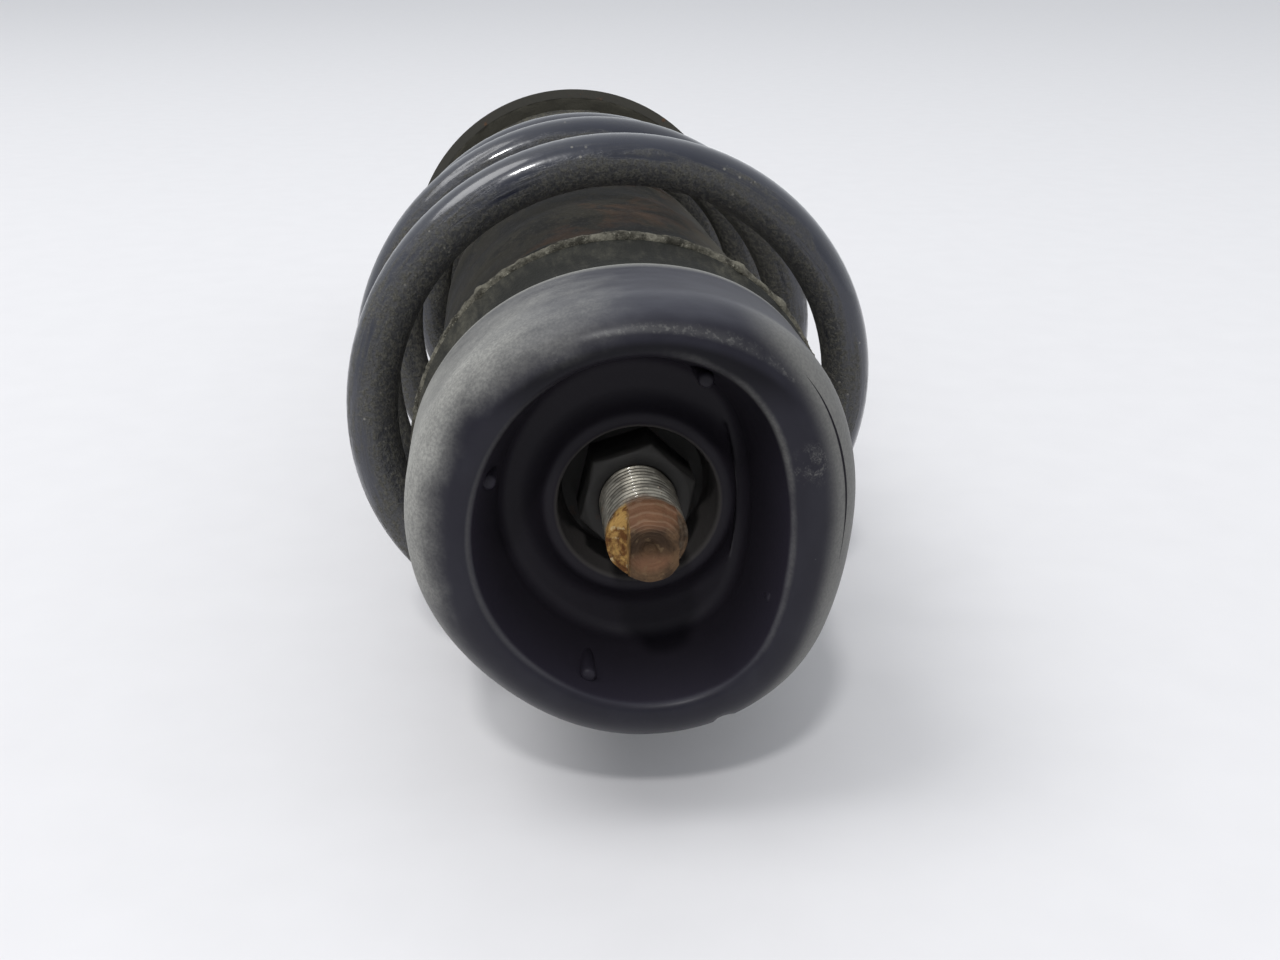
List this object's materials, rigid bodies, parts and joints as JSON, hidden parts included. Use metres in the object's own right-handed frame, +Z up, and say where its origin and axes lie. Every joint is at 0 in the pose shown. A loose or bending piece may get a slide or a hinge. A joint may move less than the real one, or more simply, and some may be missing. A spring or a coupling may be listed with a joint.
{
  "type": "shock absorber",
  "caption": "Suspension strut lying on its side: a telescopic damper inside a coil spring, held between a stamped upper seat and a dished lower seat, with a clevis bracket.",
  "frame": {"origin": "on the ground below the middle of the strut's length", "axes": "-Y along the strut towards the rod's thread, +Y towards the knuckle bracket, +Z up, the ears of the bracket point down"},
  "size_m": [0.1162, 0.436, 0.1161],
  "materials": {
    "rod_chrome": "hard-chromed rod, zinc-grey thread, rusty nose",
    "fastener_steel": "dark phosphated steel, lightly rusted",
    "spring_paint": "satin blue-black coating, dusty",
    "seat_paint": "glossy navy-black coating with grey dust",
    "tube_paint": "satin black paint",
    "bare_steel": "bare oiled steel",
    "sintered_iron": "sintered iron",
    "bronze": "bronze-backed liner",
    "pad_rubber": "black rubber, dusty and crumbling at the lip",
    "boot_rubber": "dark brown rubber with rusty stains",
    "stop_foam": "yellowed microcellular foam",
    "seal_rubber": "oil-resistant rubber",
    "band_plastic": "filled low-friction plastic"
  },
  "bodies": {
    "strut_body": {"coil_spring": "spring_paint", "lower_insulator": "pad_rubber", "lower_spring_seat": "tube_paint", "strut_tube": "tube_paint", "closing_ring": "tube_paint", "rod_seal": "seal_rubber", "rod_guide": "sintered_iron", "guide_bush": "bronze", "pressure_tube": "bare_steel", "base_valve": "sintered_iron", "bottom_cap": "tube_paint", "knuckle_bracket": "tube_paint", "bracket_stiffener": "tube_paint", "hose_bracket": "tube_paint"},
    "rod_assembly": {"piston_rod": "rod_chrome", "rod_nut": "fastener_steel", "rod_washer": "fastener_steel", "shoulder_washer": "fastener_steel", "upper_spring_seat": "seat_paint", "upper_insulator": "pad_rubber", "bump_stop": "stop_foam", "dust_boot": "boot_rubber", "rebound_stop": "seal_rubber", "rebound_collar": "bare_steel", "valve_discs": "bare_steel", "piston": "sintered_iron", "piston_band": "band_plastic", "piston_nut": "bare_steel"}
  },
  "joints": [
    {"name": "damper_slide", "type": "slide", "parent": "strut_body", "child": "rod_assembly", "axis": [0, 1, 0], "range_m": [0, 0.12], "stiffness_N_per_m": 34000, "springref_m": -0.046, "deforming": ["coil_spring", "dust_boot"]}
  ]
}
